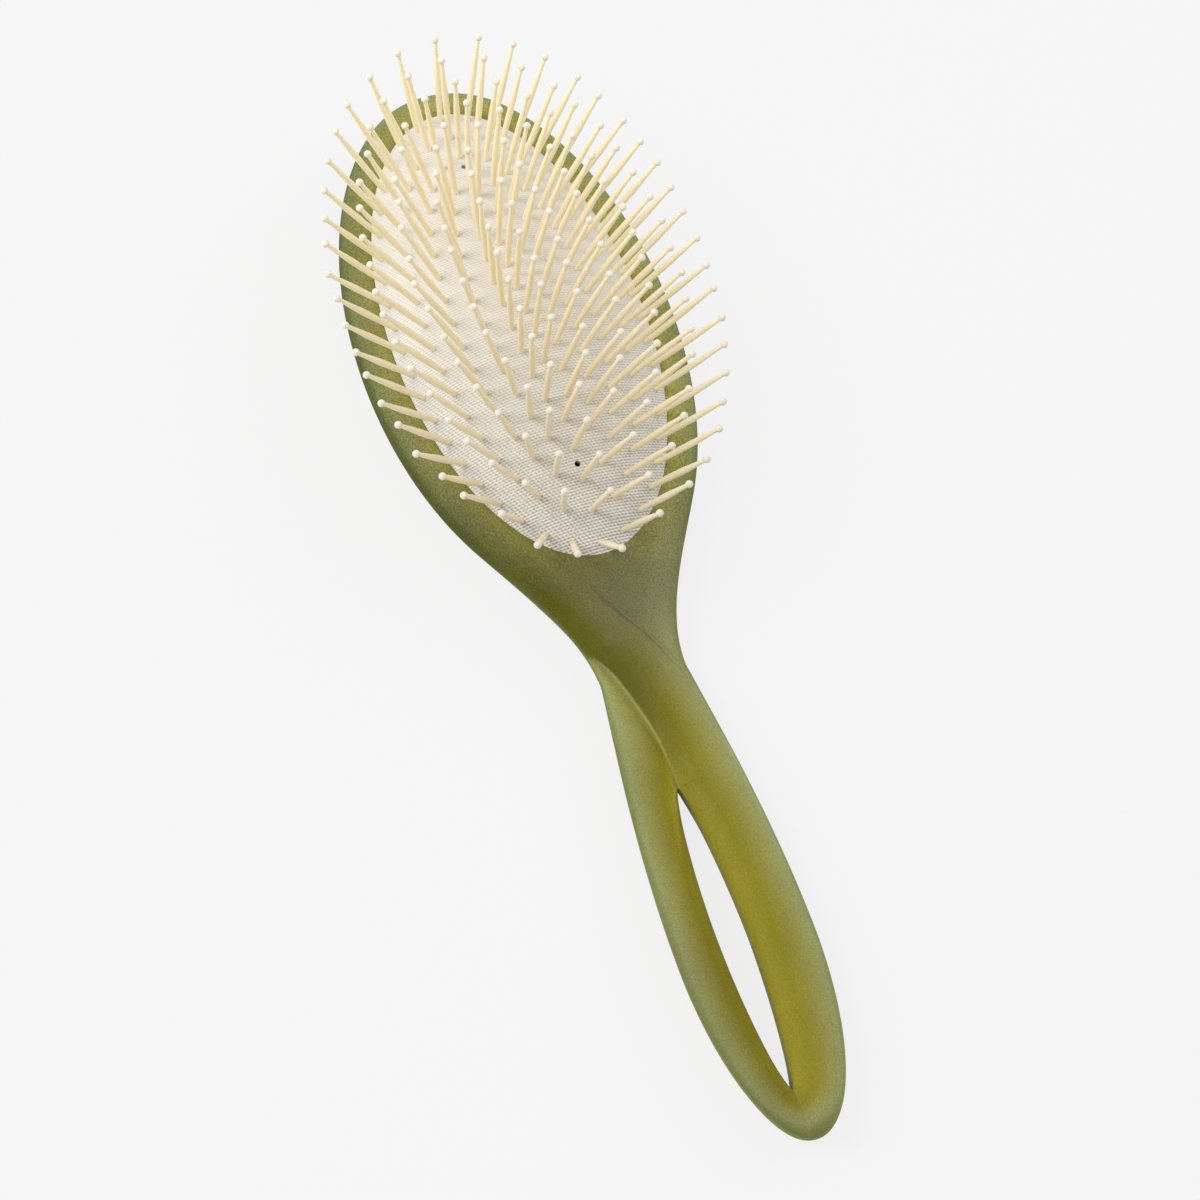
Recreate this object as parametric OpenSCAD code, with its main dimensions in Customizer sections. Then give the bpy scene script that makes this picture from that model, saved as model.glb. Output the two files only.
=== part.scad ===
// Detangling brush with an air cushion and a twisted loop handle.
// The pins point up, +X runs from the handle to the head, and the back rests on z = 0.

/* [Head] */
// Length of the head's oval outline, without the neck
head_l = 118; // [110:1:130]
// Width of the head at its widest
head_w = 63.2; // [60:0.2:70]
// Depth of the back shell below the parting line
back_depth = 6; // [5:0.5:9]
// Height of the front frame above the parting line
frame_h = 5.2; // [4.8:0.1:7]
// Width over which the frame's outer edge rounds off
frame_round = 6.5; // [4:0.5:9]
// Width over which the back's outer edge rounds off
back_round = 15; // [8:1:18]
// Wall under the air chamber
back_wall = 2.2; // [1.6:0.1:3]

/* [Handle] */
// Distance from the middle of the head to the end of the handle
handle_reach = 169.6; // [155:0.2:190]
// Width of the handle where it is widest
handle_w = 26.2; // [22:0.2:32]
// Length of the rounded tail behind the widest place
tail_l = 37.6; // [30:0.2:44]
// Height of the handle above the parting line
handle_h = 4.5; // [3.5:0.1:6]
// Width over which the handle's edges round off
handle_round = 9; // [6:0.5:11]
// How far the strands' faces fall towards the slot
strand_fall_h = 3; // [0:0.1:3.4]
// Width over which they fall
strand_fall_w = 6.5; // [4:0.1:8]
// Length over which that fall begins, before the slot
strand_fall_l = 20; // [10:1:25]
// Height that the lower strand gives up over its whole width at the crossing
lower_strand_h = 0.5; // [0:0.1:0.8]

/* [Neck] */
// Width of the neck at its narrowest
neck_w = 16.8; // [14:0.2:22]
// Distance from the middle of the head to the narrowest place
neck_at = 76; // [70:1:84]
// Where the head's oval starts to flow into the neck
neck_from = 42; // [36:1:46]
// Where the strands start to cross
cross_from = 58; // [54:1:62]
// How far the upper strand stands above the web beside it
web_step_h = 2.2; // [0.5:0.1:2.8]
// How far the upper strand rounds off towards the web
web_round_h = 0.9; // [0:0.1:1.4]
// Width over which it does
web_round_w = 3.5; // [2:0.1:5]
// How far the lower strand lies below the upper one
under_step_h = 2.6; // [0.5:0.1:2.8]
// How far the upper strand rounds off towards the lower one
under_round_h = 1.7; // [0:0.1:2]
// Width over which it does
under_round_w = 5; // [2:0.1:6]
// Width of the slope at a strand's edge
cross_slope_w = 0.8; // [0.5:0.1:3]

/* [Slot] */
// Distance from the middle of the head to the slot's near end
slot_from = 100; // [96:0.5:110]
// Solid left between the slot and the end of the handle
slot_margin = 9.1; // [8:0.1:20]
// Width of the slot in the middle
slot_w = 6; // [5:0.1:8]
// How far the slot lies to the left of the handle's middle
slot_shift = 1.75; // [0:0.05:2.5]
// How much nearer to the head the slot starts on the back
slot_lead = 2.5; // [0:0.1:4]

/* [Cushion] */
// Width of the frame's face at the ends of the pad
end_rim_w = 7.7; // [7.4:0.1:11]
// Width of the frame's face at the sides of the pad
side_rim_w = 6.6; // [6.1:0.1:9]
// Height of the dome above the frame
dome_h = 10.2; // [8:0.2:12]
// Thickness of the fabric
fabric_t = 0.4; // [0.3:0.1:0.6]
// Thickness of the rubber
rubber_t = 1.4; // [1:0.1:1.8]
// Depth of the flange's top below the frame's face
flange_drop = 1; // [0.8:0.1:1.4]
// Thickness of the flange
flange_t = 1.2; // [0.8:0.1:1.6]
// How far the flange reaches beyond the fabric that shows
flange_reach = 3; // [2.6:0.1:3.2]
// Width of the clamp ring under the flange
clamp_w = 3.6; // [2.8:0.1:3.8]
// Play between the cushion's parts and the frame
seat_gap = 0.1; // [0.05:0.05:0.2]
// Diameter of the two vent holes
vent_d = 1.4; // [1:0.1:2]

/* [Pins] */
// Length of a pin above the fabric
pin_l = 20.2; // [16:0.2:24]
// Diameter of a pin where it leaves the fabric
pin_d = 1.15; // [1:0.05:1.6]
// Diameter of a pin at its swell
pin_swell_d = 1.3; // [1.2:0.1:1.8]
// Diameter of a pin just below its ball
pin_waist_d = 0.85; // [0.6:0.05:1.1]
// Diameter of the ball on a pin's tip
ball_d = 1.5; // [1.3:0.1:2.2]
// Diameter of the head that holds a pin behind the rubber
root_d = 2.2; // [1.8:0.1:2.6]
// Thickness of that head
root_t = 0.7; // [0.5:0.1:1]
// Gap between that head and the rubber
root_gap = 0.12; // [0.1:0.02:0.2]
// Play all round a pin in its hole
pin_play = 0.06; // [0.05:0.01:0.08]
// Pins in the outermost ring
outer_pin_count = 44; // [40:4:48]
// How many pins each ring has less than the next one out
count_step = 6; // [4:2:6]
// Distance from the edge of the fabric to the outermost ring
ring_inset = 1.6; // [1.5:0.1:2]
// Length of the innermost ring
inner_ring_l = 52.2; // [46:0.2:56]
// Width of the innermost ring
inner_ring_w = 7.6; // [7:0.1:9]
// Pins in the row along the middle
row_pin_count = 6; // [4:2:6]
// Distance between the pins of the middle row
row_pitch = 5.5; // [5:0.1:5.8]

/* [Hidden] */
$fn = 64;

// One overrun for every cut
cut = 1;
part_z = back_depth;
rim_z = part_z + frame_h;
handle_widest = handle_reach - tail_l;
slot_l = handle_reach - slot_from - slot_margin;
pad_l = head_l - 2 * end_rim_w;
pad_w = head_w - 2 * side_rim_w;
plastic_colour = [0.50, 0.52, 0.18];
rubber_colour = [0.80, 0.79, 0.75];
fabric_colour = [0.90, 0.88, 0.84];
pin_colour = [0.95, 0.89, 0.72];

// Outline of the body, seen from the front
head_a = head_l / 2;
head_b = head_w / 2;
head_end_round = frame_round * 1.25;
// How full the rounded edges are: 2 is a quarter of an oval
head_fullness = 2.5;
handle_fullness = 2.1;
function oval(x, a, b) = b * sqrt(max(0, 1 - pow(x / a, 2)));
function oval_slope(x, a, b) = -b * x / (a * a) / sqrt(1 - pow(x / a, 2));
function neck_blend(t) =
    let (span = neck_at - neck_from, w = oval(neck_from, head_a, head_b),
        s = -oval_slope(-neck_from, head_a, head_b) * span)
    (2 * pow(t, 3) - 3 * t * t + 1) * w + (pow(t, 3) - 2 * t * t + t) * s
    + (3 * t * t - 2 * pow(t, 3)) * neck_w / 2;
function half_width(x) =
    x > -neck_from ? oval(x, head_a, head_b)
    : x > -neck_at ? neck_blend((-neck_from - x) / (neck_at - neck_from))
    : x > -handle_widest
        ? (neck_w + (handle_w - neck_w) * sin(90 * (-neck_at - x) / (handle_widest - neck_at))) / 2
    : oval(x + handle_widest, handle_reach - handle_widest, handle_w / 2);

// Shape of the two shells over that outline
function clamp01(t) = min(1, max(0, t));
function ease(t) = let (c = clamp01(t)) c * c * (3 - 2 * c);
function mix(a, b, t) = a + (b - a) * t;
function rounded(f, p) = pow(1 - pow(1 - clamp01(f), p), 1 / p);
function handle_share(x) = ease((-neck_from - x) / (neck_at - neck_from));
function end_share(x, p) = rounded((head_a - x) / head_end_round, p)
    * rounded((x + handle_reach) / head_end_round, p);

// The crossing: the strand from the left of the head passes over to the right of the handle.
// Its stretches are given as shares of the distance from where it starts to the slot.
cross_l = slot_from - cross_from;
web_edge_from_share = 0.3;
web_edge_sweep_share = 1.18;
web_edge_shares = [-0.03, 0.57];
web_rise_shares = [-0.06, 0.22];
web_fade_shares = [0.6, 1];
under_edge_shares = [0.28, 1];
under_edge_bend = 2.2;
under_rise_shares = [0.2, 0.42];
under_fade_shares = [1, 1.6];
function cross_at(x) = (-cross_from - x) / cross_l;
function along(x, shares) = clamp01((cross_at(x) - shares[0]) / (shares[1] - shares[0]));
function web_edge_y(x) =
    half_width(x) * (web_edge_from_share - web_edge_sweep_share * ease(along(x, web_edge_shares)));
function under_edge_y(x, slot_y) =
    mix(slot_y, half_width(x), pow(1 - along(x, under_edge_shares), under_edge_bend));
function web_depth(x) = ease(along(x, web_rise_shares)) * (1 - ease(along(x, web_fade_shares)));
function under_depth(x) = ease(along(x, under_rise_shares)) * (1 - ease(along(x, under_fade_shares)));
// How far a point lies below the upper strand's top: beside its edge by the step, on it by the rounding
function beside(inwards, step_h, round_h, round_w) = max(step_h * ease(0.5 - inwards / cross_slope_w),
    round_h * pow(clamp01(1 - max(0, inwards) / round_w), 2));
function below_over(x, y, slot_y) = max(
    web_depth(x) * beside(y - web_edge_y(x), web_step_h, web_round_h, web_round_w),
    under_depth(x) * beside(under_edge_y(x, slot_y) - y, under_step_h, under_round_h, under_round_w));

// The strands' faces fall towards the slot, and towards the lower edge of the crossing before it
function slot_half(x, from) = let (t = (-from - x) / (slot_from + slot_l - from))
    t <= 0 || t >= 1 ? 0 : slot_w / 2 * pow(sin(180 * t), slot_blunt);
function strand_fall(x, y, slot_y) =
    strand_fall_h
    * pow(clamp01(1 - (abs(y - under_edge_y(x, slot_y)) - slot_half(x, slot_from)) / strand_fall_w), 2)
    * ease(1 + (-slot_from - x) / strand_fall_l) * ease(1 + (x + slot_from + slot_l) / strand_fall_w);
function below_top(x, y, slot_y) = max(below_over(x, y, slot_y), strand_fall(x, y, slot_y))
    + under_depth(x) * lower_strand_h * ease(0.5 - (under_edge_y(x, slot_y) - y) / cross_slope_w);
function front_z(x, y) = let (h = handle_share(x), w = half_width(x),
        p = mix(head_fullness, handle_fullness, h),
        r = min(w, mix(frame_round, handle_round, h)),
        edge = rounded((w - abs(y)) / r, p) * end_share(x, p))
    part_z + edge * (mix(frame_h, handle_h, h) - below_top(x, y, slot_shift));
function back_z(x, y) = let (h = handle_share(x), w = half_width(x),
        p = mix(handle_fullness, head_fullness, h),
        r = min(w, mix(back_round, handle_round, h)),
        edge = rounded((w - abs(y)) / r, p) * end_share(x, p))
    part_z - edge * (back_depth - below_top(x, -y, -slot_shift));

// Stations along the body: closer together at both ends and at the crossing
columns = 20;
tail_stations = 20;
strand_stations = 10;
cross_stations = 32;
pad_stations = 16;
stations = tail_stations + strand_stations + cross_stations + pad_stations + tail_stations;
function station_x(i) =
    let (a = tail_stations, b = a + strand_stations, c = b + cross_stations, d = c + pad_stations)
    i <= a ? mix(-handle_reach, -handle_widest, 1 - cos(90 * i / a))
    : i <= b ? mix(-handle_widest, -slot_from, (i - a) / (b - a))
    : i <= c ? mix(-slot_from, -cross_from, (i - b) / (c - b))
    : i <= d ? mix(-cross_from, head_a / 2, (i - c) / (d - c))
    : mix(head_a / 2, head_a, sin(90 * (i - d) / (stations - d)));
function column_y(x, j) = -half_width(x) * cos(180 * j / columns);

// A closed solid between the parting plane and the shell's outer surface
module half_body(front) {
    row = columns + 1;
    last = (stations - 1) * row + 1;
    points = concat(
        [[-handle_reach, 0, part_z]],
        [for (i = [1 : stations - 1], j = [0 : columns]) let (x = station_x(i), y = column_y(x, j))
            [x, y, j == 0 || j == columns ? part_z : front ? front_z(x, y) : back_z(x, y)]],
        [[head_a, 0, part_z]]);
    skin = concat(
        [for (j = [0 : columns - 1]) [0, 2 + j, 1 + j]],
        [for (i = [0 : stations - 3], j = [0 : columns - 1]) let (a = 1 + i * row + j)
            each [[a, a + 1, a + row + 1], [a, a + row + 1, a + row]]],
        [for (j = [0 : columns - 1]) let (a = 1 + (stations - 2) * row + j) [a, a + 1, last]]);
    flat = concat([[0, 1, row]],
        [for (i = [0 : stations - 3]) let (a = 1 + i * row, b = a + columns)
            each [[a, a + row, b + row], [a, b + row, b]]],
        [[last - row, last, last - 1]]);
    faces = concat(skin, flat);
    polyhedron(points, front ? faces : [for (f = faces) [for (k = [len(f) - 1 : -1 : 0]) f[k]]]);
}

// The slot between the strands, blunt at its ends
slot_steps = 36;
slot_blunt = 0.65;
function slot_point(i, side, from) =
    let (x = -from - (slot_from + slot_l - from) * (1 + cos(180 * i / slot_steps)) / 2)
    [x, slot_shift + side * slot_half(x, from)];
module slot(from) {
    translate([0, 0, -cut]) linear_extrude(rim_z + 2 * cut)
        polygon(concat([for (i = [0 : slot_steps - 1]) slot_point(i, -1, from)],
            [for (i = [slot_steps : -1 : 1]) slot_point(i, 1, from)]));
}

// Ovals of the pad and its seat
pad_a = pad_l / 2;
pad_b = pad_w / 2;
dome_r = (pad_a * pad_a + dome_h * dome_h) / (2 * dome_h);
dome_z = rim_z + dome_h - dome_r;
flatten = pad_b / pad_a;
flange_z = rim_z - flange_drop;
module oval_plate(a, b, z0, z1)
    translate([0, 0, z0]) linear_extrude(z1 - z0) scale([1, b / a]) circle(a, $fn = 128);
module dome(r)
    translate([0, 0, dome_z]) scale([1, flatten, 1]) sphere(r, $fn = 256);

module front_frame() {
    color(plastic_colour) difference() {
        half_body(true);
        slot(slot_from);
        oval_plate(pad_a + flange_reach + seat_gap, pad_b + flange_reach + seat_gap, part_z - cut, flange_z);
        intersection() {
            dome(dome_r + seat_gap);
            above_flange(flange_z - seat_gap);
        }
    }
}

chamber_a = pad_a + flange_reach - clamp_w;
chamber_b = pad_b + flange_reach - clamp_w;
module back_shell() {
    color(plastic_colour) difference() {
        half_body(false);
        slot(slot_from - slot_lead);
        oval_plate(chamber_a, chamber_b, back_wall, part_z + cut);
    }
}

module clamp_ring() {
    color(plastic_colour) difference() {
        oval_plate(pad_a + flange_reach, pad_b + flange_reach, part_z, flange_z - flange_t);
        oval_plate(chamber_a, chamber_b, part_z - cut, flange_z);
    }
}

// Where the pins stand: rings with even steps round their ovals, and a row along the middle
ring_count = 5;
walk_steps = 180;
full_turn = 360;
function inwards(k, outer, inner) = let (first = outer - ring_inset)
    first - (first - inner) * (k - 1) / (ring_count - 1);
function ring_a(k) = inwards(k, pad_a, inner_ring_l / 2);
function ring_b(k) = inwards(k, pad_b, inner_ring_w / 2);
function ring_pins(k) = outer_pin_count - (k - 1) * count_step;
function on_ring(k, t) = [ring_a(k) * cos(t), ring_b(k) * sin(t)];
function turn(i) = full_turn * i / walk_steps;
function walk(k, i = 0, gone = 0) = i > walk_steps ? []
    : let (here = gone + (i == 0 ? 0 : norm(on_ring(k, turn(i)) - on_ring(k, turn(i - 1)))))
    concat([[here, turn(i)]], walk(k, i + 1, here));
function ring_places(k) = let (path = walk(k), round_l = path[walk_steps][0])
    [for (j = [0 : ring_pins(k) - 1]) on_ring(k, lookup(j / ring_pins(k) * round_l, path))];
function row_places() = [for (j = [0 : row_pin_count - 1]) [(j - (row_pin_count - 1) / 2) * row_pitch, 0]];
places = concat([for (k = [1 : ring_count]) ring_places(k)], [row_places()]);
// The vent holes are between the ends of the third and the fourth ring
vent_at = (ring_a(3) + ring_a(4)) / 2;

// A pin stands square to the dome
function dome_height(p) = dome_z + sqrt(dome_r * dome_r - p[0] * p[0] - pow(p[1] / flatten, 2));
function dome_normal(p) = [p[0], p[1] / (flatten * flatten), dome_height(p) - dome_z];
function skin_t(p) = (fabric_t + rubber_t) * dome_r / norm(dome_normal(p));
module stand_at(p) {
    n = dome_normal(p);
    translate([p[0], p[1], dome_height(p)]) rotate([0, acos(n[2] / norm(n)), atan2(n[1], n[0])]) children();
}

// Heights of a pin's cylindrical foot, swell and waist, as shares of its length
foot_share = 0.12;
swell_shares = [0.42, 0.6];
waist_share = 0.9;
module pin(depth) {
    foot = pin_l * foot_share;
    ball_z = pin_l - ball_d / 2;
    color(pin_colour) rotate_extrude() {
        polygon([[0, -depth - root_t], [root_d / 2, -depth - root_t], [root_d / 2, -depth],
            [pin_d / 2, -depth], [pin_d / 2, foot],
            [pin_swell_d / 2, pin_l * swell_shares[0]], [pin_swell_d / 2, pin_l * swell_shares[1]],
            [pin_waist_d / 2, pin_l * waist_share], [pin_waist_d / 2, ball_z], [0, ball_z]]);
        intersection() {
            translate([0, ball_z]) circle(ball_d / 2, $fn = 32);
            translate([0, ball_z - ball_d]) square([ball_d, ball_d * 2]);
        }
    }
}
module pins_at(list) for (p = list) stand_at(p) pin(skin_t(p) + root_gap, $fn = 24);
module ring_quarter(k, quarter) {
    n = ring_pins(k);
    pins_at([for (j = [0 : n - 1]) if (floor((j + 0.5) * 4 / n) == quarter) places[k - 1][j]]);
}
head_left = 0;
handle_left = 1;
handle_right = 2;
head_right = 3;
module middle_row_pins() pins_at(places[ring_count]);

hole_r = pin_d / 2 + pin_play;
module pin_holes() {
    for (list = places, p = list) stand_at(p)
        translate([0, 0, -skin_t(p) - cut]) cylinder(skin_t(p) + 2 * cut, hole_r, hole_r, $fn = 24);
    for (side = [-1, 1]) stand_at([side * vent_at, 0])
        translate([0, 0, -rubber_t * 2]) cylinder(rubber_t * 3, vent_d / 2, vent_d / 2, $fn = 24);
}
module above_flange(z0) translate([-head_a, -head_b, z0]) cube([head_l, head_w, rim_z + dome_h]);

module rubber_cushion() {
    color(rubber_colour) difference() {
        union() {
            intersection() {
                difference() {
                    dome(dome_r - fabric_t);
                    dome(dome_r - fabric_t - rubber_t);
                }
                above_flange(flange_z);
            }
            difference() {
                oval_plate(pad_a + flange_reach, pad_b + flange_reach, flange_z - flange_t, flange_z);
                dome(dome_r - fabric_t - rubber_t);
            }
        }
        pin_holes();
    }
}

module fabric_cover() {
    color(fabric_colour) difference() {
        intersection() {
            difference() {
                dome(dome_r);
                dome(dome_r - fabric_t);
            }
            above_flange(flange_z);
        }
        pin_holes();
    }
}

front_frame();
back_shell();
clamp_ring();
rubber_cushion();
fabric_cover();
ring_quarter(1, head_left);  // ring_1_pins_head_left
ring_quarter(1, handle_left);  // ring_1_pins_handle_left
ring_quarter(1, handle_right);  // ring_1_pins_handle_right
ring_quarter(1, head_right);  // ring_1_pins_head_right
ring_quarter(2, head_left);  // ring_2_pins_head_left
ring_quarter(2, handle_left);  // ring_2_pins_handle_left
ring_quarter(2, handle_right);  // ring_2_pins_handle_right
ring_quarter(2, head_right);  // ring_2_pins_head_right
ring_quarter(3, head_left);  // ring_3_pins_head_left
ring_quarter(3, handle_left);  // ring_3_pins_handle_left
ring_quarter(3, handle_right);  // ring_3_pins_handle_right
ring_quarter(3, head_right);  // ring_3_pins_head_right
ring_quarter(4, head_left);  // ring_4_pins_head_left
ring_quarter(4, handle_left);  // ring_4_pins_handle_left
ring_quarter(4, handle_right);  // ring_4_pins_handle_right
ring_quarter(4, head_right);  // ring_4_pins_head_right
ring_quarter(5, head_left);  // ring_5_pins_head_left
ring_quarter(5, handle_left);  // ring_5_pins_handle_left
ring_quarter(5, handle_right);  // ring_5_pins_handle_right
ring_quarter(5, head_right);  // ring_5_pins_head_right
middle_row_pins();
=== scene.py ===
import math
import random

import bpy
from mathutils import Matrix, Vector


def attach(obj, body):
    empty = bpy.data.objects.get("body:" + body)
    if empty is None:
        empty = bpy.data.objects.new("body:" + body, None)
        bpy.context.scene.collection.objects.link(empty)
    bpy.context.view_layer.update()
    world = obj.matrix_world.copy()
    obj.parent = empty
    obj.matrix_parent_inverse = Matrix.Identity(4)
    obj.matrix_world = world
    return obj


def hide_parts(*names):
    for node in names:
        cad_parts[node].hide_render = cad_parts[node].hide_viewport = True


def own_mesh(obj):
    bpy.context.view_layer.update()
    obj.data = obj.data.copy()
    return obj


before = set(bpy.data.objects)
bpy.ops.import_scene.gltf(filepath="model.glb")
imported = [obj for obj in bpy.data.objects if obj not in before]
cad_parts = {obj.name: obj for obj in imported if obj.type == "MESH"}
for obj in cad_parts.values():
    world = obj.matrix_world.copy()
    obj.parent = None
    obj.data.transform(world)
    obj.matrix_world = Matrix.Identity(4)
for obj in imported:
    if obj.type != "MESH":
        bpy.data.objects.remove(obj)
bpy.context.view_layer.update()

MM = 0.001

# Sizes in millimetres, as in the CAD. Only the vents are narrower, the slope at the crossing's edges
# is steeper, and a pin's swell and waist lie at slightly other heights.
HEAD_A, HEAD_B = 59.0, 31.6
REACH, TAIL, HANDLE_W = 169.6, 37.6, 26.2
NECK_W, NECK_AT, NECK_FROM, CROSS_FROM = 16.8, 76.0, 42.0, 58.0
PART_Z, FRAME_H, HANDLE_H, BACK_DEPTH, BACK_WALL = 6.0, 5.2, 4.5, 6.0, 2.2
FRAME_ROUND, BACK_ROUND, HANDLE_ROUND = 6.5, 15.0, 9.0
END_ROUND = FRAME_ROUND * 1.25
# How full the rounded edges are: 2 is a quarter of an oval
HEAD_FULLNESS, HANDLE_FULLNESS = 2.5, 2.1
WEB_STEP, WEB_ROUND_H, WEB_ROUND_W = 2.2, 0.9, 3.5
UNDER_STEP, UNDER_ROUND_H, UNDER_ROUND_W = 2.6, 1.7, 5.0
CROSS_SLOPE = 0.7
SLOT_FROM, SLOT_L, SLOT_W, SLOT_SHIFT, SLOT_LEAD, SLOT_BLUNT = 100.0, 60.5, 6.0, 1.75, 2.5, 0.65
SLOT_END = -SLOT_FROM - SLOT_L
STRAND_FALL_H, STRAND_FALL_W, STRAND_FALL_L, LOWER_STRAND_H = 3.0, 6.5, 20.0, 0.5
PAD_A, PAD_B, DOME_H = 51.3, 25.0, 10.2
FABRIC_T, RUBBER_T, SEAT_GAP = 0.4, 1.4, 0.1
FLANGE_DROP, FLANGE_T, FLANGE_REACH, FLANGE_W = 1.0, 1.2, 3.0, 3.6
RIM_Z = PART_Z + FRAME_H
FLANGE_Z = RIM_Z - FLANGE_DROP
DOME_R = (PAD_A ** 2 + DOME_H ** 2) / (2 * DOME_H)
DOME_Z = RIM_Z + DOME_H - DOME_R
FLATTEN = PAD_B / PAD_A
VENT_AT, VENT_D = 34.95, 1.2
PIN_L, PIN_D, PIN_SWELL_D, PIN_WAIST_D, BALL_D = 20.2, 1.15, 1.3, 0.85, 1.5
FOOT_SHARE, SWELL_SHARES, WAIST_SHARES = 0.12, (0.4, 0.56), (0.86, 0.93)
ROOT_D, ROOT_T, ROOT_GAP = 2.2, 0.7, 0.12
RING_PINS = [44, 38, 32, 26, 20]
RING_INSET, INNER_RING_A, INNER_RING_B = 1.6, 26.1, 3.8
ROW_PINS, ROW_PITCH = 6, 5.5

# Sizes that only the scene has: roundings along the slot and the pad's opening, and the pins' dimples
SLOT_FILLET, SLOT_FILLET_SHARE, SLOT_TIP_HALF = 1.2, 0.8, 1.8
PAD_FILLET = 0.5
DIMPLE_H, DIMPLE_R, DIMPLE_W = 0.08, 0.5, 0.75


def clamp01(t):
    return min(1.0, max(0.0, t))


def ease(t):
    c = clamp01(t)
    return c * c * (3 - 2 * c)


def mix(a, b, t):
    return a + (b - a) * t


def rounded(f, p):
    return (1 - (1 - clamp01(f)) ** p) ** (1 / p)


def hump(d, at, width):
    """1 at one place, fading away on both sides."""
    return math.exp(-((d - at) / width) ** 2)


def crowded(k, n):
    """Share of the way at step k of n, with the steps closer together near both ends."""
    return (1 - math.cos(math.pi * k / n)) / 2


def oval(x, a, b):
    return b * math.sqrt(max(0.0, 1 - (x / a) ** 2))


def half_width(x):
    widest = REACH - TAIL
    if x > -NECK_FROM:
        return oval(x, HEAD_A, HEAD_B)
    if x > -NECK_AT:
        t = (-NECK_FROM - x) / (NECK_AT - NECK_FROM)
        w = oval(NECK_FROM, HEAD_A, HEAD_B)
        steep = -HEAD_B * NECK_FROM / HEAD_A ** 2 / math.sqrt(1 - (NECK_FROM / HEAD_A) ** 2)
        s = steep * (NECK_AT - NECK_FROM)
        return ((2 * t ** 3 - 3 * t * t + 1) * w + (t ** 3 - 2 * t * t + t) * s
                + (3 * t * t - 2 * t ** 3) * NECK_W / 2)
    if x > -widest:
        t = (-NECK_AT - x) / (widest - NECK_AT)
        return (NECK_W + (HANDLE_W - NECK_W) * math.sin(math.pi / 2 * t)) / 2
    return oval(x + widest, TAIL, HANDLE_W / 2)


def handle_share(x):
    return ease((-NECK_FROM - x) / (NECK_AT - NECK_FROM))


def end_share(x, p):
    return rounded((HEAD_A - x) / END_ROUND, p) * rounded((x + REACH) / END_ROUND, p)


# The crossing: one strand passes over the other between the head and the slot. Its stretches are
# given as shares of the way from where it starts to the slot.
WEB_EDGE_FROM, WEB_EDGE_SWEEP, WEB_EDGE = 0.3, 1.18, (-0.03, 0.57)
WEB_RISE, WEB_FADE = (-0.06, 0.22), (0.6, 1)
UNDER_EDGE, UNDER_EDGE_BEND = (0.28, 1), 2.2
UNDER_RISE, UNDER_FADE = (0.2, 0.42), (1, 1.6)


def along(x, stretch):
    """Share of the way along a stretch of the crossing."""
    a, b = stretch
    return clamp01(((-CROSS_FROM - x) / (SLOT_FROM - CROSS_FROM) - a) / (b - a))


def between(x, rise, fade):
    """A share that rises over one stretch and fades over a later one."""
    return ease(along(x, rise)) * (1 - ease(along(x, fade)))


def web_edge_y(x):
    return half_width(x) * (WEB_EDGE_FROM - WEB_EDGE_SWEEP * ease(along(x, WEB_EDGE)))


def under_edge_y(x, slot_y):
    return mix(slot_y, half_width(x), (1 - along(x, UNDER_EDGE)) ** UNDER_EDGE_BEND)


def beside(inwards, step_h, round_h, round_w):
    """How far a face lies below the upper strand's top: a step at the edge, or the rounding inside it."""
    rounding = clamp01(1 - max(0.0, inwards) / round_w) ** 2
    return max(step_h * ease(0.5 - inwards / CROSS_SLOPE), round_h * rounding)


def slot_half(x, start=SLOT_FROM):
    t = (-start - x) / (SLOT_FROM + SLOT_L - start)
    if not 0 < t < 1:
        return 0.0
    return SLOT_W / 2 * math.sin(math.pi * t) ** SLOT_BLUNT


def below_top(x, y, slot_y):
    """How far a strand's face lies below its top: at the crossing's edges, and falling towards the slot."""
    web = between(x, WEB_RISE, WEB_FADE)
    under = between(x, UNDER_RISE, UNDER_FADE)
    in_from_under = under_edge_y(x, slot_y) - y
    over = max(web * beside(y - web_edge_y(x), WEB_STEP, WEB_ROUND_H, WEB_ROUND_W),
               under * beside(in_from_under, UNDER_STEP, UNDER_ROUND_H, UNDER_ROUND_W))
    fall = (STRAND_FALL_H * clamp01(1 - (abs(in_from_under) - slot_half(x)) / STRAND_FALL_W) ** 2
            * ease(1 + (-SLOT_FROM - x) / STRAND_FALL_L)
            * ease(1 + (x + SLOT_FROM + SLOT_L) / STRAND_FALL_W))
    return max(over, fall) + under * LOWER_STRAND_H * ease(0.5 - in_from_under / CROSS_SLOPE)


# Behind the pad the line where the two sides meet moves over to the slot's middle
MIDDLE_SHIFT_GAP, MIDDLE_SHIFT_L, MIDDLE_END_W = 10, 30, 5


def middle_y(x):
    """Where the two sides meet: on the long axis at the head, in the slot's middle further back."""
    shift = SLOT_SHIFT * ease((-PAD_A - MIDDLE_SHIFT_GAP - x) / MIDDLE_SHIFT_L)
    return shift * clamp01(half_width(max(x, -REACH)) / MIDDLE_END_W)


def front_height(x, y):
    h, w = handle_share(x), half_width(x)
    p = mix(HEAD_FULLNESS, HANDLE_FULLNESS, h)
    r = max(min(w, mix(FRAME_ROUND, HANDLE_ROUND, h)), 0.001)
    edge = rounded((w - abs(y)) / r, p) * end_share(x, p)
    return edge * (mix(FRAME_H, HANDLE_H, h) - below_top(x, y, SLOT_SHIFT))


def back_height(x, y):
    h, w = handle_share(x), half_width(x)
    p = mix(HANDLE_FULLNESS, HEAD_FULLNESS, h)
    r = max(min(w, mix(BACK_ROUND, HANDLE_ROUND, h)), 0.001)
    edge = rounded((w - abs(y)) / r, p) * end_share(x, p)
    return edge * (BACK_DEPTH - below_top(x, -y, -SLOT_SHIFT))


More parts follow.
